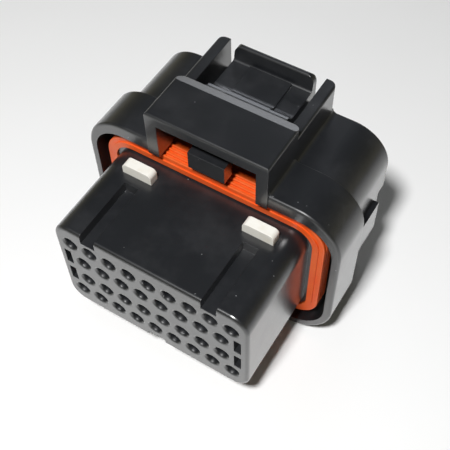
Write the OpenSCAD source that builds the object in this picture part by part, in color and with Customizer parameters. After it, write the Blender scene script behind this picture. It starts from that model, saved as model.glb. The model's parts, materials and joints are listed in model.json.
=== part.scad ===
// Sealed multi-way connector housing: the socket half, with its latch, lock, seals and contacts.
// The connector is laid out from its mating face: X across, Y from the mating face to the rear, Z up,
// with the middle of the pin holes at zero. stand() then sets it down on its collar.

/* [Pin holes] */
// Distance from one hole to the next in a row
pin_pitch = 3; // [2.7:0.05:3.2]
// Height of the outer rows above and below the middle
outer_row_z = 5.5; // [5.3:0.05:6]
// Height of the inner rows above and below the middle
inner_row_z = 2; // [1.8:0.05:2.1]
// Holes in each outer row
outer_row_pins = 9; // [7:1:10]
// Holes in each inner row
inner_row_pins = 8; // [4:1:8]
// Diameter of the hole that a pin enters
pin_hole_d = 1.9; // [1.6:0.05:2]
// Diameter of the soft mouth round the hole
hole_mouth_d = 2.5; // [2.2:0.05:2.6]
// Depth of the mouth
hole_mouth_depth = 0.5; // [0.3:0.05:0.8]

/* [Front block] */
// From the last hole's middle to the block's side
block_side = 2.4; // [2.3:0.05:2.8]
// From the outer rows' middle to the block's top and bottom
block_cap = 3.3; // [3.1:0.05:3.6]
// Radius of the block's long corners
block_corner_r = 2.6; // [1.5:0.1:3]
// Rounding round the mating face
block_edge_r = 0.5; // [0.3:0.05:0.7]
// Thickness of the wall over the lock's slot
block_skin = 0.9; // [0.7:0.05:1]
// Inner edge of each groove along the top, from the middle
groove_inner_x = 7.8; // [7:0.1:8.5]
// Width of each groove
groove_w = 2.2; // [1.5:0.1:2.5]
// Thickness left between a groove and the cavities under it
groove_floor = 0.25; // [0.2:0.05:0.6]
// Thickness left between the grooves' end and the lock's slot
groove_stop = 1.35; // [0.8:0.05:3]
// Width of the keyway under the block
keyway_w = 2.8; // [2:0.1:4]
// Depth of the keyway
keyway_depth = 1.1; // [0.8:0.05:1.4]
// Thickness left outside the windows beside the inner rows
window_wall = 1; // [0.8:0.05:1.1]
// Width of those windows
window_w = 1.05; // [0.8:0.05:1.2]
// Near end of each window, from the middle height
window_near_z = 0.6; // [0.4:0.05:1]
// Height of each window
window_h = 2.9; // [2.4:0.1:3.4]
// Depth of each window
window_depth = 7; // [2:0.5:8]

/* [Interface seal] */
// How far the seal's seat stands out of the block's sides
seat_side = 0.6; // [0.4:0.05:0.8]
// How far the seat stands out of the block's top and bottom
seat_rise = 0.35; // [0.25:0.05:0.5]
// Thickness of the seal between its ribs
seal_wall = 1.3; // [1:0.05:1.4]
// Height of the ribs over that thickness
seal_rib_h = 0.35; // [0.25:0.05:0.4]
// Distance from one rib to the next
seal_rib_pitch = 0.68; // [0.6:0.01:0.8]
// Ribs round the seal
seal_ribs = 4; // [2:1:4]
// Thickness of the seal's foot behind the ribs
seal_foot_wall = 0.8; // [0.6:0.05:1]
// Length of the seal from front to back
seal_len = 4.8; // [4:0.1:5.4]
// Width of the seal's inner bead at its front
seal_bead_w = 0.85; // [0.5:0.05:1]
// Height of that bead over the seal's front
seal_bead_h = 0.2; // [0.1:0.05:0.4]

/* [Collar] */
// Gap between the seal's ribs and the collar's sides
trough_gap_side = 1.3; // [1:0.05:1.8]
// Gap between the ribs and the collar's top
trough_gap_top = 0.8; // [0.6:0.05:1.2]
// Gap between the ribs and the collar's bottom
trough_gap_bottom = 1.4; // [1:0.05:1.8]
// Radius of the trough's top corners
trough_top_r = 5; // [4:0.1:5.5]
// Radius of the trough's bottom corners
trough_bottom_r = 6; // [5:0.1:6.5]
// Thickness of the collar's side walls
collar_side_wall = 1.1; // [0.9:0.05:1.4]
// Thickness of the collar's top wall
collar_top_wall = 2; // [1.7:0.05:2.3]
// Thickness of the collar's bottom wall
collar_bottom_wall = 1.5; // [1.2:0.05:1.8]
// Radius of the collar's top corners
collar_top_r = 6.6; // [5.5:0.1:7]
// Radius of the collar's bottom corners
collar_bottom_r = 7.5; // [6:0.1:7.8]
// From the lock's slot to the collar's front
collar_gap = 1.4; // [1:0.05:2]
// From the collar's front to the seal's front
seal_inset = 0.5; // [0.3:0.05:1]
// From the trough's floor to the collar's rear
collar_back = 1.3; // [0.8:0.05:2]
// Rounding of the collar's front edge
collar_edge_r = 0.4; // [0.3:0.05:0.5]

/* [Rear body] */
// How far the rear body's sides lie inside the collar's
rear_step_side = 1.6; // [1.1:0.05:2]
// How far the rear body's top lies under the collar's
rear_step_top = 0.97; // [0.7:0.01:1.2]
// Radius of the rear body's long corners
rear_corner_r = 5.56; // [4.5:0.02:6]
// Thickness of the rear body's side walls round its pocket
rear_wall_side = 1.85; // [1.4:0.05:2.2]
// Thickness of the rear body's top and bottom walls
rear_wall_top = 2.03; // [1.5:0.01:2.3]
// Radius of the pocket's corners
pocket_corner_r = 3.6; // [3:0.1:4]
// Thickness of the web between the trough and the pocket
web_t = 3; // [2.4:0.1:3.6]
// How far each side rail stands out
rail_out = 0.8; // [0.5:0.05:1]
// Half the height of the side rails and of the notches behind them
rail_half_h = 2.75; // [2:0.05:3.5]
// Length of the notches that take the cover's lugs
notch_len = 3; // [2:0.1:3.6]

/* [Bridge and guards] */
// How far the bridge's front stands ahead of the collar's
bridge_ahead = 0.2; // [0.1:0.05:0.4]
// Length of the bridge's fall behind the collar
bridge_fall_len = 1.35; // [0.8:0.05:1.5]
// Half the width of the bridge
bridge_half_w = 8.75; // [8.6:0.05:9.1]
// Thickness of the legs and of the guard walls
leg_wall = 1.65; // [1.5:0.05:1.8]
// Thickness of the bridge
bridge_wall = 1.7; // [1.4:0.05:1.9]
// Drop of the bridge's top at its rear edge
bridge_fall = 0.5; // [0.2:0.05:0.8]
// How far the guard walls lie under the bridge's top
guard_drop = 1.5; // [1:0.05:1.8]
// How far the guard walls reach behind the thumb lip
guard_past_lip = 0.25; // [0.1:0.05:0.8]
// Radius of the bridge's rear corners and the guards' end corners, seen from above
guard_corner_r = 1.1; // [0.6:0.05:1.3]
// Rounding of the bridge's and the guards' long edges
guard_edge_r = 0.35; // [0.2:0.05:0.5]
// Fillet where the legs and the guards stand on the body
foot_fillet_r = 0.6; // [0.3:0.05:0.9]

/* [Latch lever] */
// Gap between the lever's plate and the rear body under it
lever_gap = 1.37; // [1.2:0.01:1.6]
// Gap between the lever's plate and each guard wall
lever_side_gap = 1.25; // [0.9:0.05:1.6]
// Height of the trunnion's middle over the plate's underside
pivot_rise = 1.8; // [1.6:0.05:1.9]
// From the bridge's rear edge to the trunnion's middle
pivot_gap = 0.75; // [0.6:0.05:1]
// Diameter of the trunnion pins
pivot_pin_d = 1.8; // [1.4:0.05:1.9]
// Length of each pin inside its guard wall
pivot_pin_bite = 0.9; // [0.6:0.05:1]
// Diameter of the knuckle round the trunnion
knuckle_d = 2.4; // [2.2:0.05:2.5]
// Gap between the knuckle's top and the bridge's underside
knuckle_gap = 0.2; // [0.15:0.05:0.4]
// Thickness of the side strips
strip_t = 1.45; // [1.3:0.05:1.6]
// From the trunnion's middle to the flat of the strips
strip_start = 2.8; // [2.4:0.05:3]
// Length of that flat, up to the panel's rear edge
strip_len = 4.27; // [3.8:0.01:4.6]
// Radius of the hollow in front of the flat
strip_hollow_r = 1.5; // [1.2:0.05:1.6]
// Angle up to which the strips' hollow is drawn
strip_hollow_end = 200; // [195:1:215]
// Angle up to which the panel's hollow is drawn
panel_hollow_end = 210; // [200:1:220]
// Half the width of the raised middle panel
panel_half_w = 3.1; // [2.8:0.05:3.6]
// Height of the panel over the strips at its front
panel_rise_front = 0.25; // [0.15:0.05:0.35]
// Height of the panel over the strips at its rear edge
panel_rise_rear = 0.49; // [0.4:0.01:0.7]
// Height of the thumb lip over the strips
lip_rise = 2.35; // [2:0.05:2.6]
// From the panel's rear edge to the front of the lip's top
lip_gap = 0.68; // [0.6:0.02:0.8]
// Thickness of the lip at its top
lip_t = 0.85; // [0.75:0.05:1]
// Radius of the hollow at the lip's foot, over the length before the lip
lip_hollow_share = 0.7; // [0.6:0.05:0.8]
// Angle at which the lip's round top meets its hollow front
lip_top_end = 155; // [140:1:165]
// Angle at which the hollow at the lip's foot meets its front
lip_hollow_end = -15; // [-25:1:-10]
// Radius of the lip's upper corners, seen from behind
lip_corner_r = 1.2; // [0.6:0.05:1.5]
// Half the width of the nose, and of the beam that carries it
nose_half_w = 2.65; // [2.3:0.05:2.8]
// How far the nose starts behind the bridge's front
nose_inset = 0.05; // [0.05:0.05:0.3]
// Height of the nose's top over the plate's underside
nose_rise = 1.1; // [1:0.05:1.3]
// Height of the nose, down to the edge that hooks
nose_h = 2.8; // [2.6:0.05:2.9]
// Length of the hook from front to back
hook_len = 1.7; // [1.3:0.1:2.2]

/* [Secondary lock] */
// Front of the lock's slot, behind the mating face
slot_front_y = 11.15; // [11:0.05:12]
// Thickness of the lock's plate
lock_t = 1.45; // [1.3:0.05:1.6]
// Width of the plate outside its last window
lock_rim = 0.45; // [0.35:0.05:0.6]
// Inner edge of each tab, from the middle
tab_inner_x = 6.8; // [6:0.05:7.3]
// Width of each tab
tab_w = 4.45; // [3.5:0.05:4.8]
// How far each tab stands out of the block
tab_out = 1.6; // [1.55:0.05:2]
// Radius of the tabs' upper corners
tab_corner_r = 0.7; // [0.3:0.05:1]
// How far the lock travels when it is pressed in
lock_travel = 1.5; // [1.4:0.05:1.5]

/* [Contacts] */
// Width of a contact's box
contact_w = 1.7; // [1.5:0.05:1.75]
// Height of a contact's box over the hole's middle
contact_up = 1.45; // [1.35:0.05:1.5]
// Depth of a contact's box under the hole's middle
contact_down = 0.85; // [0.75:0.05:0.9]
// Front of the contacts, behind the mating face
contact_front_y = 1.6; // [1.4:0.05:2]
// From the rear of a contact's box to the lock's slot
box_gap = 0.25; // [0.1:0.05:0.5]
// From the lock's slot to the crimp barrels
barrel_gap = 0.9; // [0.7:0.05:1.5]
// From the crimp barrels to the wire seal
barrel_end_gap = 0.8; // [0.5:0.1:2]
// Width of the neck and of the barrels
barrel_w = 1.1; // [0.9:0.05:1.2]
// Height of the neck, which the lock passes over
neck_h = 0.65; // [0.5:0.05:0.75]
// Gap between the two pairs of crimp wings
wing_gap = 0.5; // [0.3:0.1:1]
// Where the spring tongue starts, behind the contact's front
tongue_start = 0.6; // [0.4:0.1:1]
// Length of the spring tongue
tongue_len = 6; // [4:0.5:7]
// How far the tongue bulges towards the pin
tongue_bulge = 0.75; // [0.5:0.05:0.9]
// Thickness of the contact metal
contact_t = 0.15; // [0.12:0.01:0.2]

/* [Wire seal and rear cover] */
// Thickness of the wire seal
mat_t = 4.8; // [4:0.1:5.2]
// Diameter of the wire seal's holes
mat_hole_d = 1.2; // [0.9:0.05:1.5]
// Ribs round the wire seal
mat_ribs = 3; // [2:1:3]
// Height of those ribs
mat_rib_h = 0.35; // [0.2:0.05:0.5]
// Width of those ribs
mat_rib_w = 0.7; // [0.4:0.05:0.9]
// Thickness of the rear cover
cover_t = 3.6; // [3.4:0.05:4]
// How far the cover lies inside the pocket's mouth
cover_recess = 0.3; // [0.1:0.05:0.8]
// Diameter of the holes that guide the wires in
cover_hole_d = 1.9; // [1.6:0.05:2.1]
// How far the cover's side lugs reach into the notches
lug_out = 1.5; // [1:0.05:1.7]

/* [Clearances] */
// Play between the pivot pins and their holes, all round
pivot_play = 0.05; // [0.03:0.01:0.08]
// Play between the lock and its slot, on each side
lock_play = 0.05; // [0.03:0.01:0.1]
// Play between the lock's windows and the contacts, on each side
lock_window_play = 0.1; // [0.08:0.01:0.12]
// Play between a contact and its cavity, on each side
contact_play = 0.05; // [0.03:0.01:0.08]
// Play between the rear cover and its pocket, all round
cover_play = 0.1; // [0.05:0.05:0.2]

/* [Hidden] */
$fn = 64;
overlap = 0.2;
margin = 1;

contacts = 2 * outer_row_pins + 2 * inner_row_pins;
two_digits = function (number) str(number < 10 ? "0" : "", number);
contact_name = function (index) str("contact_", two_digits(index + 1));

black = "#232427";
silicone = "#e8551c";
ivory = "#ece7da";
tin = "#b9b4a6";

// Holes, row by row from the top, as [x, z]
row_half_w = function (pins) (pins - 1) / 2 * pin_pitch;
row = function (pins, z) [for (i = [0:pins - 1]) [i * pin_pitch - row_half_w(pins), z]];
holes = concat(
    row(outer_row_pins, outer_row_z),
    row(inner_row_pins, inner_row_z),
    row(inner_row_pins, -inner_row_z),
    row(outer_row_pins, -outer_row_z)
);
field_half_w = max(row_half_w(outer_row_pins), row_half_w(inner_row_pins));

// Cavities and contacts
cavity_w = contact_w + 2 * contact_play;
cavity_up = contact_up + contact_play;
cavity_down = contact_down + contact_play;
contact_box_rear_y = slot_front_y - box_gap;

// Front block and the lock's slot through it
block_half_w = field_half_w + block_side;
block_half_h = outer_row_z + block_cap;
groove_depth = block_cap - cavity_up - groove_floor;
groove_len = slot_front_y - groove_stop;
window_inner_x = block_half_w - window_wall - window_w;
slot_rear_y = slot_front_y + lock_t + 2 * lock_play;
slot_top_z = block_half_h - block_skin;
lock_window_w = contact_w + 2 * lock_window_play;
lock_half_w = field_half_w + lock_window_w / 2 + lock_rim;
slot_half_w = lock_half_w + lock_play;
lock_top_z = slot_top_z - 2 * lock_play;
lock_bottom_z = block_half_h - lock_travel - lock_play;
barrel_front_y = slot_rear_y + barrel_gap;

// Seal on its seat, and the trough and collar round it
seat_half_w = block_half_w + seat_side;
seat_half_h = block_half_h + seat_rise;
seat_corner_r = block_corner_r + min(seat_side, seat_rise);
seal_t = seal_wall + seal_rib_h;
trough_half_w = seat_half_w + seal_t + trough_gap_side;
trough_top_z = seat_half_h + seal_t + trough_gap_top;
trough_bottom_z = seat_half_h + seal_t + trough_gap_bottom;
collar_half_w = trough_half_w + collar_side_wall;
collar_top_z = trough_top_z + collar_top_wall;
collar_bottom_z = trough_bottom_z + collar_bottom_wall;
collar_front_y = slot_rear_y + collar_gap;
seal_front_y = collar_front_y + seal_inset;
seal_ribs_y = seal_front_y + seal_bead_h;
seat_front_y = seal_ribs_y + overlap / 2;
trough_floor_y = seal_front_y + seal_len;
collar_rear_y = trough_floor_y + collar_back;

// Rear body, with the wire seal and the cover in its pocket
rear_half_w = collar_half_w - rear_step_side;
rear_half_h = collar_top_z - rear_step_top;
pocket_half_w = rear_half_w - rear_wall_side;
pocket_half_h = rear_half_h - rear_wall_top;
pocket_floor_y = trough_floor_y + web_t;
barrel_rear_y = pocket_floor_y - barrel_end_gap;
mat_rear_y = pocket_floor_y + mat_t;
mat_half_w = pocket_half_w - mat_rib_h;
mat_half_h = pocket_half_h - mat_rib_h;
mat_corner_r = pocket_corner_r - mat_rib_h;
cover_rear_y = mat_rear_y + cover_t;
rear_y = cover_rear_y + cover_recess;
rail_rear_y = rear_y - notch_len;

// Latch lever, from its underside up
lever_under_z = rear_half_h + lever_gap;
pivot_z = lever_under_z + pivot_rise;
strip_top_z = lever_under_z + strip_t;
panel_front_z = strip_top_z + panel_rise_front;
panel_rear_z = strip_top_z + panel_rise_rear;
lip_top_z = strip_top_z + lip_rise;
nose_top_z = lever_under_z + nose_rise;
nose_bottom_z = nose_top_z - nose_h;

// Bridge over the latch, and the guards beside it
leg_inner_x = bridge_half_w - leg_wall;
lever_half_w = leg_inner_x - lever_side_gap;
bridge_under_z = pivot_z + knuckle_d / 2 + knuckle_gap;
bridge_top_z = bridge_under_z + bridge_wall;
guard_top_z = bridge_top_z - guard_drop;
bridge_front_y = collar_front_y - bridge_ahead;
bridge_rear_y = collar_rear_y + bridge_fall_len;
nose_front_y = bridge_front_y + nose_inset;
pivot_y = bridge_rear_y + pivot_gap;
strip_front_y = pivot_y + strip_start;
panel_rear_y = strip_front_y + strip_len;
lip_front_y = panel_rear_y + lip_gap;
lip_rear_y = lip_front_y + lip_t;
guard_rear_y = lip_rear_y + guard_past_lip;

// Points along an arc
function arc(centre, r, from, to, steps = 6) =
    [for (i = [0:steps]) let (a = from + (to - from) * i / steps) centre + r * [cos(a), sin(a)]];

// Sets the connector down: the collar's bottom at zero height, half its length on each side of the middle
module stand() translate([0, -guard_rear_y / 2, collar_bottom_z]) children();

// Extrudes an outline drawn in X and Z along Y
module along_y(from, to) translate([0, to, 0]) rotate([90, 0, 0]) linear_extrude(to - from) children();

// Extrudes a profile drawn in Y and Z along X, the same to both sides
module across(half_w) translate([-half_w, 0, 0]) rotate([90, 0, 90]) linear_extrude(2 * half_w) children();

// Extrudes a plan drawn in X and Y upwards
module upright(from, to) translate([0, 0, from]) linear_extrude(to - from) children();

module both_sides() {
    children();
    mirror([1, 0, 0]) children();
}

// Rectangle with round corners, whose top and bottom corners may differ
module outline(half_w, top, bottom, top_r, bottom_r) {
    for (side = [-1, 1]) {
        translate([side * (half_w - top_r), top - top_r]) circle(top_r);
        translate([side * (half_w - bottom_r), bottom + bottom_r]) circle(bottom_r);
    }
    middle = (top - top_r + bottom + bottom_r) / 2;
    translate([-half_w, bottom + bottom_r]) square([2 * half_w, top - top_r - bottom - bottom_r]);
    translate([top_r - half_w, middle]) square([2 * (half_w - top_r), top - middle]);
    translate([bottom_r - half_w, bottom]) square([2 * (half_w - bottom_r), middle - bottom]);
}

module even_outline(half_w, half_h, r) outline(half_w, half_h, -half_h, r, r);

// Quarter of a ring swept from a profile: X is the radius, Y the depth, and turn picks the corner
module corner_sweep(turn) rotate([-90, 0, 0]) rotate([0, 0, turn]) rotate_extrude(angle = 90) children();

// Sweeps a profile round an outline: the profile's X points outwards from the outline and Y to the rear
module sweep(half_w, top, bottom, top_r, bottom_r) {
    both_sides() {
        translate([half_w - top_r, 0, top - top_r]) corner_sweep(-90) translate([top_r, 0]) children();
        translate([half_w - bottom_r, 0, bottom + bottom_r])
            corner_sweep(0) translate([bottom_r, 0]) children();
        translate([half_w, 0, bottom + bottom_r]) linear_extrude(top - top_r - bottom - bottom_r) children();
    }
    translate([half_w - top_r, 0, top]) rotate([0, -90, 0]) linear_extrude(2 * (half_w - top_r)) children();
    mirror([0, 0, 1]) translate([half_w - bottom_r, 0, -bottom])
        rotate([0, -90, 0]) linear_extrude(2 * (half_w - bottom_r)) children();
}

// What is cut away outside a rounded edge, drawn at the corner of the outline and the front face
module edge_waste(r) polygon(concat(
    arc([-r, r], r, -90, 0),
    [[margin, r], [margin, -margin], [-r, -margin]]
));

// Fills an inside corner that opens up and to the right
module foot_fillet() polygon(concat(
    [[-overlap, -overlap], [foot_fillet_r, -overlap]],
    arc([foot_fillet_r, foot_fillet_r], foot_fillet_r, 270, 180),
    [[-overlap, foot_fillet_r]]
));

// Round-topped rib that stands out along X on a wall at zero, from zero depth to its width
module rib(height, width) polygon(concat(
    [[-overlap, 0]],
    arc([height - width / 2, width / 2], width / 2, -90, 90),
    [[-overlap, width]]
));

// Half a section from inner to outer, with a round upper outer corner
module wall_section(inner, outer, bottom, top) polygon(concat(
    [[inner, bottom], [outer, bottom]],
    arc([outer - guard_edge_r, top - guard_edge_r], guard_edge_r, 0, 90),
    [[inner, top]]
));

// One cavity from the mating face to the wire seal, with its soft mouth
module cavity() {
    mouth_r = hole_mouth_d / 2;
    hole_r = pin_hole_d / 2;
    reach = mouth_r - hole_r;
    rotate([-90, 0, 0]) rotate_extrude() polygon(concat(
        [[0, -margin], [mouth_r, -margin], [mouth_r, 0]],
        [for (a = [30:30:90]) [mouth_r - reach * sin(a), hole_mouth_depth * (1 - cos(a))]],
        [[0, hole_mouth_depth]]
    ));
    rotate([-90, 0, 0]) cylinder(d = pin_hole_d, h = contact_front_y + overlap);
    translate([-cavity_w / 2, contact_front_y, -cavity_down])
        cube([cavity_w, pocket_floor_y - contact_front_y + margin, cavity_up + cavity_down]);
}

module front_block() {
    difference() {
        along_y(0, trough_floor_y + overlap) even_outline(block_half_w, block_half_h, block_corner_r);
        sweep(block_half_w, block_half_h, -block_half_h, block_corner_r, block_corner_r)
            edge_waste(block_edge_r);
        both_sides() translate([groove_inner_x, -margin, block_half_h - groove_depth])
            cube([groove_w, groove_len + margin, groove_depth + margin]);
        translate([-keyway_w / 2, -margin, -block_half_h - margin])
            cube([keyway_w, groove_len + margin, keyway_depth + margin]);
        both_sides() for (z = [window_near_z, -window_near_z - window_h])
            translate([window_inner_x, -margin, z]) cube([window_w, window_depth + margin, window_h]);
    }
    along_y(seat_front_y, trough_floor_y + overlap) even_outline(seat_half_w, seat_half_h, seat_corner_r);
}

module collar() {
    difference() {
        along_y(collar_front_y, collar_rear_y)
            outline(collar_half_w, collar_top_z, -collar_bottom_z, collar_top_r, collar_bottom_r);
        translate([0, collar_front_y, 0])
            sweep(collar_half_w, collar_top_z, -collar_bottom_z, collar_top_r, collar_bottom_r)
                edge_waste(collar_edge_r);
        along_y(collar_front_y - margin, trough_floor_y)
            outline(trough_half_w, trough_top_z, -trough_bottom_z, trough_top_r, trough_bottom_r);
    }
}

module rear_body() {
    difference() {
        along_y(trough_floor_y, rear_y) even_outline(rear_half_w, rear_half_h, rear_corner_r);
        along_y(pocket_floor_y, rear_y + margin) even_outline(pocket_half_w, pocket_half_h, pocket_corner_r);
        translate([-rear_half_w - margin, rail_rear_y, -rail_half_h])
            cube([2 * (rear_half_w + margin), rear_y - rail_rear_y + margin, 2 * rail_half_h]);
    }
    both_sides() translate([rear_half_w - overlap, collar_rear_y - overlap, -rail_half_h])
        cube([rail_out + overlap, rail_rear_y - collar_rear_y + overlap, 2 * rail_half_h]);
}

// Plan of half a bridge or guard, from the middle line outwards, with a round rear outer corner
module guard_plan(inner, outer, front, rear) polygon(concat(
    [[inner, front], [outer, front]],
    arc([outer - guard_corner_r, rear - guard_corner_r], guard_corner_r, 0, 90),
    [[inner, rear]]
));

module bridge() {
    intersection() {
        across(bridge_half_w + margin) polygon(concat(
            [[bridge_front_y, trough_top_z - overlap]],
            arc([bridge_front_y + guard_edge_r, bridge_top_z - guard_edge_r], guard_edge_r, 180, 90),
            [[collar_rear_y, bridge_top_z], [bridge_rear_y, bridge_top_z - bridge_fall]],
            [[bridge_rear_y, trough_top_z - overlap]]
        ));
        along_y(bridge_front_y, bridge_rear_y) both_sides()
            wall_section(0, bridge_half_w, trough_top_z - overlap, bridge_top_z);
        upright(trough_top_z - overlap, bridge_top_z) both_sides()
            guard_plan(0, bridge_half_w, bridge_front_y, bridge_rear_y);
    }
}

module guards() {
    both_sides() {
        intersection() {
            along_y(collar_rear_y, guard_rear_y)
                wall_section(leg_inner_x, bridge_half_w, rear_half_h - overlap, guard_top_z);
            upright(rear_half_h - overlap, guard_top_z)
                guard_plan(leg_inner_x, bridge_half_w, collar_rear_y, guard_rear_y);
        }
        translate([bridge_half_w, 0, collar_top_z])
            along_y(collar_front_y + collar_edge_r, collar_rear_y) foot_fillet();
        translate([bridge_half_w, 0, rear_half_h])
            along_y(collar_rear_y - overlap, rear_y) foot_fillet();
    }
}

// The open way under the bridge that the latch lies in
module latch_way() {
    translate([-leg_inner_x, bridge_front_y - margin, rear_half_h])
        cube([2 * leg_inner_x, guard_rear_y, bridge_under_z - rear_half_h]);
    translate([-leg_inner_x, bridge_front_y - margin, trough_top_z - overlap]) cube([
        2 * leg_inner_x,
        trough_floor_y - bridge_front_y + margin,
        rear_half_h - trough_top_z + 2 * overlap
    ]);
}

// The slot of the secondary lock, open below, and the openings for its tabs
module lock_slot() {
    translate([-slot_half_w, slot_front_y, -block_half_h - margin])
        cube([2 * slot_half_w, slot_rear_y - slot_front_y, slot_top_z + block_half_h + margin]);
    both_sides() translate([tab_inner_x - 2 * lock_play, slot_front_y, 0])
        cube([tab_w + 4 * lock_play, slot_rear_y - slot_front_y, block_half_h + margin]);
}

module housing() stand() color(black) difference() {
    union() {
        front_block();
        collar();
        rear_body();
        bridge();
        guards();
    }
    latch_way();
    lock_slot();
    for (hole = holes) translate([hole.x, 0, hole.y]) cavity();
    translate([-leg_inner_x - pivot_pin_bite - pivot_play, pivot_y, pivot_z]) rotate([0, 90, 0])
        cylinder(d = pivot_pin_d + 2 * pivot_play, h = 2 * (leg_inner_x + pivot_pin_bite + pivot_play));
}

// Side profile of the plate beside the panel, from the knuckle to the lip
module strip_profile() {
    translate([pivot_y, pivot_z]) circle(d = knuckle_d);
    polygon(concat(
        [[pivot_y, lever_under_z], [lip_rear_y - overlap, lever_under_z]],
        [[lip_rear_y - overlap, strip_top_z]],
        arc([strip_front_y, strip_top_z + strip_hollow_r], strip_hollow_r, 270, strip_hollow_end),
        [[pivot_y, pivot_z + knuckle_d / 2 - overlap]]
    ));
}

module panel_profile() polygon(concat(
    [[pivot_y, lever_under_z], [panel_rear_y, lever_under_z]],
    [[panel_rear_y, panel_rear_z]],
    arc([strip_front_y, panel_front_z + strip_hollow_r], strip_hollow_r, 270, panel_hollow_end),
    [[pivot_y, pivot_z + knuckle_d / 2 - overlap]]
));

// The thumb lip: a hollow front that rises to a round top edge
module lip_profile() {
    hollow_r = lip_gap * lip_hollow_share;
    round_r = lip_t / 2;
    polygon(concat(
        [[lip_rear_y - overlap, lever_under_z]],
        [[lip_rear_y, lever_under_z + overlap]],
        arc([lip_rear_y - round_r, lip_top_z - round_r], round_r, 0, lip_top_end),
        arc([panel_rear_y, strip_top_z + hollow_r], hollow_r, lip_hollow_end, -90),
        [[panel_rear_y, lever_under_z]]
    ));
}

module beam_profile() polygon([
    [nose_front_y + hook_len, nose_top_z - 2 * overlap],
    [pivot_y, lever_under_z],
    [pivot_y, pivot_z],
    [nose_front_y, nose_top_z]
]);

module nose_profile() polygon([
    [nose_front_y, nose_bottom_z],
    [nose_front_y + hook_len, nose_bottom_z],
    [nose_front_y + hook_len, lever_under_z],
    [nose_front_y + 2 * hook_len, lever_under_z],
    [nose_front_y + 2 * hook_len, nose_top_z],
    [nose_front_y, nose_top_z]
]);

module latch_lever() stand() color(black) {
    across(lever_half_w) strip_profile();
    across(panel_half_w) panel_profile();
    intersection() {
        across(lever_half_w) lip_profile();
        along_y(panel_rear_y - margin, lip_rear_y)
            outline(lever_half_w, lip_top_z, lever_under_z - margin, lip_corner_r, overlap);
    }
    across(nose_half_w) beam_profile();
    across(nose_half_w) nose_profile();
    translate([-leg_inner_x - pivot_pin_bite, pivot_y, pivot_z]) rotate([0, 90, 0])
        cylinder(d = pivot_pin_d, h = 2 * (leg_inner_x + pivot_pin_bite));
}

module interface_seal() stand() color(silicone) {
    ribs_len = (seal_ribs - 0.5) * seal_rib_pitch;
    sweep(seat_half_w, seat_half_h, -seat_half_h, seat_corner_r, seat_corner_r) {
        translate([0, seal_ribs_y]) square([seal_wall, ribs_len]);
        translate([0, seal_front_y]) square([seal_bead_w, seal_bead_h + overlap]);
        translate([0, seal_ribs_y]) square([seal_foot_wall, trough_floor_y - seal_ribs_y]);
        for (i = [0:seal_ribs - 1])
            translate([seal_wall, seal_ribs_y + i * seal_rib_pitch]) rib(seal_rib_h, seal_rib_pitch / 2);
    }
}

// Plate of the secondary lock, with one window per contact and two tabs
module secondary_lock() stand() color(ivory) {
    front = slot_front_y + lock_play;
    along_y(front, front + lock_t) difference() {
        union() {
            translate([-lock_half_w, -lock_bottom_z]) square([2 * lock_half_w, lock_top_z + lock_bottom_z]);
            for (side = [-1, 1]) translate([side * (tab_inner_x + tab_w / 2), 0])
                outline(tab_w / 2, block_half_h + tab_out, 0, tab_corner_r, tab_corner_r);
        }
        for (hole = holes)
            translate([hole.x - lock_window_w / 2, hole.y - contact_down - lock_window_play])
                square([lock_window_w, contact_up + contact_down + 2 * lock_window_play]);
    }
}

// Trough of contact metal, open above
module trough_section(height) translate([-barrel_w / 2, -contact_down]) difference() {
    square([barrel_w, height]);
    translate([contact_t, contact_t]) square([barrel_w - 2 * contact_t, height]);
}

// Spring tongue that hangs from the roof of the box and bulges down towards the pin
module tongue_profile() {
    roof = contact_up - contact_t;
    front = contact_front_y + tongue_start;
    low = front + tongue_len / 3;
    polygon([
        [front, roof + contact_t / 2],
        [front + contact_t, roof + contact_t / 2],
        [low, roof - tongue_bulge + contact_t],
        [front + tongue_len, roof - contact_play],
        [low, roof - tongue_bulge]
    ]);
}

// Socket contact: a box with a spring tongue, a low neck through the lock, and two pairs of crimp wings
module contact(hole) stand() translate([hole.x, 0, hole.y]) color(tin) {
    wings_len = (barrel_rear_y - barrel_front_y - wing_gap) / 2;
    along_y(contact_front_y, contact_box_rear_y) difference() {
        translate([-contact_w / 2, -contact_down]) square([contact_w, contact_up + contact_down]);
        translate([contact_t - contact_w / 2, contact_t - contact_down])
            square([contact_w - 2 * contact_t, contact_up + contact_down - 2 * contact_t]);
    }
    across(barrel_w / 2 - contact_t) tongue_profile();
    along_y(contact_box_rear_y - overlap, barrel_rear_y) trough_section(neck_h);
    for (front = [barrel_front_y, barrel_rear_y - wings_len])
        along_y(front, front + wings_len) trough_section(contact_up + contact_down);
}

module wire_holes(d, from, to) for (hole = holes)
    translate([hole.x, from - margin, hole.y]) rotate([-90, 0, 0])
        cylinder(d = d, h = to - from + 2 * margin);

module wire_seal() stand() color(silicone) difference() {
    union() {
        along_y(pocket_floor_y, mat_rear_y) even_outline(mat_half_w, mat_half_h, mat_corner_r);
        sweep(mat_half_w, mat_half_h, -mat_half_h, mat_corner_r, mat_corner_r)
            for (i = [1:mat_ribs])
                translate([0, pocket_floor_y + mat_t * i / (mat_ribs + 1) - mat_rib_w / 2])
                    rib(mat_rib_h, mat_rib_w);
    }
    wire_holes(mat_hole_d, pocket_floor_y, mat_rear_y);
}

module rear_cover() stand() color(black) difference() {
    union() {
        along_y(mat_rear_y, cover_rear_y) even_outline(
            pocket_half_w - cover_play, pocket_half_h - cover_play, pocket_corner_r - cover_play
        );
        both_sides() translate([pocket_half_w - overlap, rail_rear_y + cover_play, cover_play - rail_half_h])
            cube([
                lug_out + overlap,
                cover_rear_y - rail_rear_y - cover_play,
                2 * (rail_half_h - cover_play)
            ]);
    }
    wire_holes(cover_hole_d, mat_rear_y, cover_rear_y);
}

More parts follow.
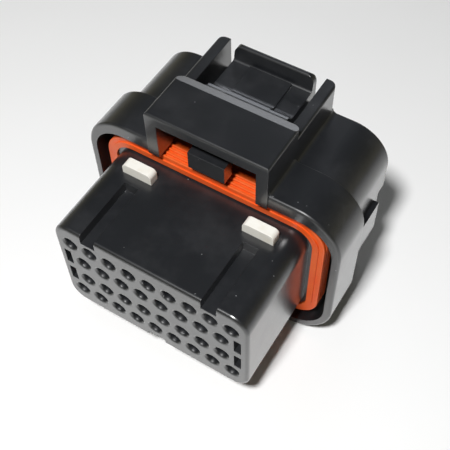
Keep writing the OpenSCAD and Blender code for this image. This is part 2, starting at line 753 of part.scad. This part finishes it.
housing();
latch_lever();
interface_seal();
secondary_lock();
wire_seal();
rear_cover();
for (index = [0:contacts - 1])
    contact(holes[index]);
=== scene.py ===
# Sealed connector housing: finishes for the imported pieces, with the table, light and camera round them
import json
import math
import bpy
from mathutils import Matrix, Vector

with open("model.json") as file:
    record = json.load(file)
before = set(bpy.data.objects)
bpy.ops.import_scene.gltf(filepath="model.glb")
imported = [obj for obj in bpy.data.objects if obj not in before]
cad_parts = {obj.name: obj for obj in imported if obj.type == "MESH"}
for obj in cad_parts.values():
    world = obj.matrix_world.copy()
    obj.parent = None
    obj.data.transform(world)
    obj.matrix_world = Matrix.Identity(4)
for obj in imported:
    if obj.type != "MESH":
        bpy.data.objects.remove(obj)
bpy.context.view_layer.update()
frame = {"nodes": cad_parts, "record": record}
nodes = frame["nodes"]
mm = 0.001
noiseMiddle = 0.5


class Wire:
    # One output of a node. Arithmetic on it adds Math nodes to the same tree
    def __init__(self, bench, socket):
        self.bench = bench
        self.socket = socket

    def math(self, operation, *values):
        return self.bench.node("ShaderNodeMath", {"operation": operation}, dict(enumerate(values)))

    def pick(self, name):
        # Another output of the same node
        return Wire(self.bench, self.socket.node.outputs[name])

    def __add__(self, other): return self.math("ADD", self, other)
    def __radd__(self, other): return self.math("ADD", other, self)
    def __sub__(self, other): return self.math("SUBTRACT", self, other)
    def __rsub__(self, other): return self.math("SUBTRACT", other, self)
    def __mul__(self, other): return self.math("MULTIPLY", self, other)
    def __rmul__(self, other): return self.math("MULTIPLY", other, self)
    def __lt__(self, other): return self.math("LESS_THAN", self, other)
    def __gt__(self, other): return self.math("GREATER_THAN", self, other)


class Bench:
    # A node tree being built, for a material or the world
    def __init__(self, tree):
        self.tree = tree
        tree.nodes.clear()

    def node(self, kind, settings=None, inputs=None, out=0):
        made = self.tree.nodes.new(kind)
        for name, value in (settings or {}).items():
            if name == "stops":
                setStops(made.color_ramp, value)
            else:
                setattr(made, name, value)
        for name, value in (inputs or {}).items():
            if isinstance(value, Wire):
                self.tree.links.new(value.socket, made.inputs[name])
            else:
                made.inputs[name].default_value = value
        return Wire(self, made.outputs[out]) if made.outputs else made

    def mixColour(self, factor, first, second):
        return self.node("ShaderNodeMix", {"data_type": "RGBA"}, {0: factor, 6: first, 7: second}, out=2)

    def ramp(self, value, low, high):
        # 0 below low, 1 above high, smooth between
        return self.node("ShaderNodeMapRange", {"interpolation_type": "SMOOTHSTEP"},
                         {"Value": value, "From Min": low, "From Max": high})


def setStops(ramp, stops):
    while len(ramp.elements) > 1:
        ramp.elements.remove(ramp.elements[-1])
    for index, (place, colour) in enumerate(stops):
        element = ramp.elements[0] if index == 0 else ramp.elements.new(place)
        element.position = place
        element.color = colour


def newMaterial(name):
    material = bpy.data.materials.new(name)
    material.use_nodes = True
    return material, Bench(material.node_tree)


def finishMaterial(bench, inputs):
    shader = bench.node("ShaderNodeBsdfPrincipled", inputs=inputs)
    bench.node("ShaderNodeOutputMaterial", inputs={"Surface": shader})


def objectPlace(bench):
    return bench.node("ShaderNodeTexCoord", out="Object")


def noise(bench, place, size, detail=3.0, roughness=0.5):
    # size is how far apart the blotches lie, in metres
    return bench.node("ShaderNodeTexNoise", inputs={
        "Vector": place, "Scale": 1 / size, "Detail": detail, "Roughness": roughness})


def patches(bench, place, low, high, **look):
    # Soft-edged patches, where the noise of that look rises from low to high
    return bench.ramp(noise(bench, place, **look), low, high)


def specks(bench, place, spacing, radius, share, core=0.5):
    # Small round dots, one in each cell of the given spacing, kept in that share of the cells.
    # core is the part of the radius inside which a dot is solid
    cells = bench.node("ShaderNodeTexVoronoi", inputs={"Vector": place, "Scale": 1 / spacing}, out="Distance")
    lot = bench.node("ShaderNodeSeparateColor", inputs={0: cells.pick("Color")})
    dot = 1 - bench.ramp(cells * spacing, radius * core, radius)
    return dot * (lot < share)


def softEdges(bench, bumps, radius, strength, distance, samples=6):
    # Rounds every edge a little and lays the fine surface relief over it
    rounded = bench.node("ShaderNodeBevel", {"samples": samples}, {"Radius": radius})
    return bench.node("ShaderNodeBump", inputs={
        "Strength": strength, "Distance": distance, "Height": bumps, "Normal": rounded})


def blackNylon():
    nylon = {
        "base": (0.0095, 0.0105, 0.0125, 1), "bloom": (0.026, 0.027, 0.030, 1),
        "dust": (0.32, 0.33, 0.34, 1),
        "cloud": {"size": 7 * mm, "detail": 5.0, "roughness": 0.62, "low": 0.42, "high": 0.75},
        "streak": {"size": 7 * mm / 6, "detail": 4.0, "roughness": 0.6, "low": 0.5, "high": 0.8},
        "grain": {"size": 0.11 * mm, "detail": 2.0},
        "spots": {"spacing": 1.1 * mm, "radius": 0.085 * mm, "share": 0.16},
        "edges": {"radius": 0.16 * mm, "strength": 0.12, "distance": 0.02 * mm},
        "cloudTint": 0.55, "streakTint": 0.45, "dustTint": 0.8, "dustHeight": 2,
        "roughness": 0.36, "cloudRough": 0.06, "dustRough": 0.3, "grainRough": 0.05,
        "coat": 1.0, "coatRoughness": 0.24, "bend": 1.53,
    }
    material, bench = newMaterial("blackNylon")
    place = objectPlace(bench)
    cloud = patches(bench, place, **nylon["cloud"])
    streak = patches(bench, place, **nylon["streak"])
    grain = noise(bench, place, **nylon["grain"])
    dust = specks(bench, place, **nylon["spots"])
    haze = cloud * nylon["cloudTint"] + streak * cloud * nylon["streakTint"]
    plain = bench.mixColour(haze, nylon["base"], nylon["bloom"])
    colour = bench.mixColour(dust * nylon["dustTint"], plain, nylon["dust"])
    normal = softEdges(bench, grain + dust * nylon["dustHeight"], **nylon["edges"])
    dulling = nylon["roughness"] + cloud * nylon["cloudRough"] + dust * nylon["dustRough"]
    unevenness = (grain - noiseMiddle) * nylon["grainRough"]
    finishMaterial(bench, {
        "Base Color": colour, "Roughness": dulling + unevenness,
        "Coat Weight": nylon["coat"], "Coat Roughness": nylon["coatRoughness"],
        "Normal": normal, "IOR": nylon["bend"],
    })
    return material


def orangeSilicone():
    rubber = {
        "base": (0.78, 0.095, 0.009, 1), "pale": (0.80, 0.13, 0.022, 1), "dust": (0.9, 0.5, 0.34, 1),
        "mottle": {"size": 2.2 * mm, "detail": 4.0, "low": 0.35, "high": 0.75},
        "grain": {"size": 0.16 * mm, "detail": 3.0},
        "spots": {"spacing": 0.9 * mm, "radius": 0.08 * mm, "share": 0.18},
        "dustTint": 0.7, "reliefStrength": 0.18, "reliefDepth": 0.03 * mm, "mottleHeight": 0.6,
        "roughness": 0.38, "mottleRough": 0.08, "dustRough": 0.2, "gloss": 0.5,
    }
    material, bench = newMaterial("orangeSilicone")
    place = objectPlace(bench)
    mottle = patches(bench, place, **rubber["mottle"])
    grain = noise(bench, place, **rubber["grain"])
    dust = specks(bench, place, **rubber["spots"])
    plain = bench.mixColour(mottle, rubber["base"], rubber["pale"])
    relief = bench.node("ShaderNodeBump", inputs={
        "Strength": rubber["reliefStrength"], "Distance": rubber["reliefDepth"],
        "Height": grain + mottle * rubber["mottleHeight"]})
    finishMaterial(bench, {
        "Base Color": bench.mixColour(dust * rubber["dustTint"], plain, rubber["dust"]),
        "Roughness": rubber["roughness"] + mottle * rubber["mottleRough"] + dust * rubber["dustRough"],
        "Normal": relief, "Specular IOR Level": rubber["gloss"],
    })
    return material


def ivoryPlastic():
    ivory = {
        "base": (0.86, 0.84, 0.78, 1), "stain": (0.76, 0.71, 0.60, 1),
        "stains": {"size": 1.6 * mm, "detail": 4.0, "low": 0.48, "high": 0.8},
        "grain": {"size": 0.2 * mm, "detail": 2.0},
        "edges": {"radius": 0.12 * mm, "strength": 0.15, "distance": 0.02 * mm},
        "stainTint": 0.6, "roughness": 0.42, "stainRough": 0.1,
    }
    material, bench = newMaterial("ivoryPlastic")
    place = objectPlace(bench)
    stain = patches(bench, place, **ivory["stains"])
    grain = noise(bench, place, **ivory["grain"])
    finishMaterial(bench, {
        "Base Color": bench.mixColour(stain * ivory["stainTint"], ivory["base"], ivory["stain"]),
        "Roughness": ivory["roughness"] + stain * ivory["stainRough"],
        "Normal": softEdges(bench, grain, **ivory["edges"]),
    })
    return material


def tinnedMetal():
    tin = {
        "base": (0.64, 0.62, 0.57, 1), "dull": (0.42, 0.38, 0.31, 1),
        "tarnish": {"size": 1.2 * mm, "detail": 4.0, "low": 0.45, "high": 0.8},
        "brush": {"size": 0.08 * mm, "detail": 2.0},
        "roughness": 0.28, "tarnishRough": 0.15, "brushRough": 0.1, "metallic": 1.0,
    }
    material, bench = newMaterial("tinnedMetal")
    place = objectPlace(bench)
    tarnish = patches(bench, place, **tin["tarnish"])
    brushed = noise(bench, place, **tin["brush"])
    unevenness = (brushed - noiseMiddle) * tin["brushRough"]
    finishMaterial(bench, {
        "Base Color": bench.mixColour(tarnish, tin["base"], tin["dull"]), "Metallic": tin["metallic"],
        "Roughness": tin["roughness"] + tarnish * tin["tarnishRough"] + unevenness,
    })
    return material


finishes = {
    "black_plastic": blackNylon(),
    "orange_silicone": orangeSilicone(),
    "white_plastic": ivoryPlastic(),
    "tinned_metal": tinnedMetal(),
}
print("finishes made:", ", ".join(sorted(finishes)))


def dressNodes():
    for part in frame["record"]["subparts"]:
        mesh = nodes[part["node"]].data
        mesh.materials.clear()
        mesh.materials.append(finishes[part["material_slot"]])


dressNodes()


def buildTable():
    # seen is how much whiter the table looks to the camera and in gloss than in the light that it gives back.
    # It keeps the colour under 1
    table = {
        "reach": 1.2, "colour": (0.88, 0.88, 0.88, 1), "mottle": (0.85, 0.85, 0.845, 1),
        "blotchSize": 30 * mm, "seen": 1.13,
    }
    material, bench = newMaterial("whiteTable")
    blotch = noise(bench, objectPlace(bench), table["blotchSize"])
    paper = bench.mixColour(blotch, table["colour"], table["mottle"])
    bright = bench.node("ShaderNodeVectorMath", {"operation": "SCALE"}, {0: paper, "Scale": table["seen"]})
    path = bench.node("ShaderNodeLightPath", out="Is Camera Ray")
    looked = path.math("MAXIMUM", path, path.pick("Is Glossy Ray"))
    looked = looked.math("MAXIMUM", looked, path.pick("Is Transmission Ray"))
    plain = bench.node("ShaderNodeBsdfDiffuse", inputs={"Color": paper})
    white = bench.node("ShaderNodeBsdfDiffuse", inputs={"Color": bright})
    both = bench.node("ShaderNodeMixShader", inputs={0: looked, 1: plain, 2: white})
    bench.node("ShaderNodeOutputMaterial", inputs={"Surface": both})
    mesh = bpy.data.meshes.new("table")
    corners = [(x * table["reach"], y * table["reach"], 0) for x, y in ((-1, -1), (1, -1), (1, 1), (-1, 1))]
    mesh.from_pydata(corners, [], [(0, 1, 2, 3)])
    mesh.materials.append(material)
    top = bpy.data.objects.new("table", mesh)
    bpy.context.scene.collection.objects.link(top)


def buildRoom():
    # The room's light by height, from straight down at 0 to overhead at 1: warm and dim at the walls,
    # darker and cooler overhead. seen is the colour that the camera gets past the table's edge
    room = {
        "stops": [
            (0.0, (0.30, 0.28, 0.20, 1)), (0.5, (0.30, 0.27, 0.17, 1)),
            (0.66, (0.10, 0.092, 0.06, 1)), (0.9, (0.030, 0.034, 0.040, 1)),
        ],
        "half": 0.5, "strength": 1.0, "seen": (0.92, 0.92, 0.92, 1),
    }
    world = bpy.data.worlds.new("room")
    bpy.context.scene.world = world
    world.use_nodes = True
    bench = Bench(world.node_tree)
    place = bench.node("ShaderNodeTexCoord", out="Generated")
    height = bench.node("ShaderNodeSeparateXYZ", inputs={0: place}, out="Z")
    level = height * room["half"] + room["half"]
    shade = bench.node("ShaderNodeValToRGB", {"stops": room["stops"]}, {"Fac": level})
    light = bench.node("ShaderNodeBackground", inputs={"Color": shade, "Strength": room["strength"]})
    white = bench.node("ShaderNodeBackground", inputs={"Color": room["seen"], "Strength": 1.0})
    seen = bench.node("ShaderNodeLightPath", out="Is Camera Ray")
    both = bench.node("ShaderNodeMixShader", inputs={0: seen, 1: light, 2: white})
    bench.node("ShaderNodeOutputWorld", inputs={"Surface": both})


def addLamp(name, aim, place, size, power, colour):
    data = bpy.data.lights.new(name, "AREA")
    data.shape = "DISK"
    data.size = size
    data.energy = power
    data.color = colour
    lamp = bpy.data.objects.new(name, data)
    lamp.location = place
    lamp.rotation_euler = (Vector(aim) - Vector(place)).to_track_quat("-Z", "Y").to_euler()
    bpy.context.scene.collection.objects.link(lamp)


def lightStudio():
    middle = (0, 0, 14 * mm)
    lamps = {
        "keyLight": {
            "place": (14 * mm, -103 * mm, 228 * mm), "size": 32 * mm, "power": 0.62, "colour": (1, 1, 1),
        },
        "windowLight": {
            "place": (-0.13, 0.43, 0.20), "size": 0.24, "power": 0.30, "colour": (0.86, 0.90, 1.0),
        },
    }
    for name, lamp in lamps.items():
        addLamp(name, middle, **lamp)


def placeCamera():
    view = {
        "place": (36.46 * mm, -54.12 * mm, 107.50 * mm), "aim": (1.31 * mm, 0.05 * mm, 13.70 * mm),
        "lens": 66.46, "sensor": 36, "roll": 1.69, "near": 5 * mm,
    }
    data = bpy.data.cameras.new("camera")
    data.lens = view["lens"]
    data.sensor_width = view["sensor"]
    data.clip_start = view["near"]
    camera = bpy.data.objects.new("camera", data)
    look = (Vector(view["aim"]) - Vector(view["place"])).to_track_quat("-Z", "Y").to_matrix()
    turn = Matrix.Rotation(math.radians(-view["roll"]), 3, "Z")
    camera.matrix_world = Matrix.Translation(view["place"]) @ (look @ turn).to_4x4()
    bpy.context.scene.collection.objects.link(camera)
    bpy.context.scene.camera = camera


buildTable()
buildRoom()
lightStudio()
placeCamera()
bpy.context.scene.view_settings.view_transform = "Standard"
print("table, light and camera placed")
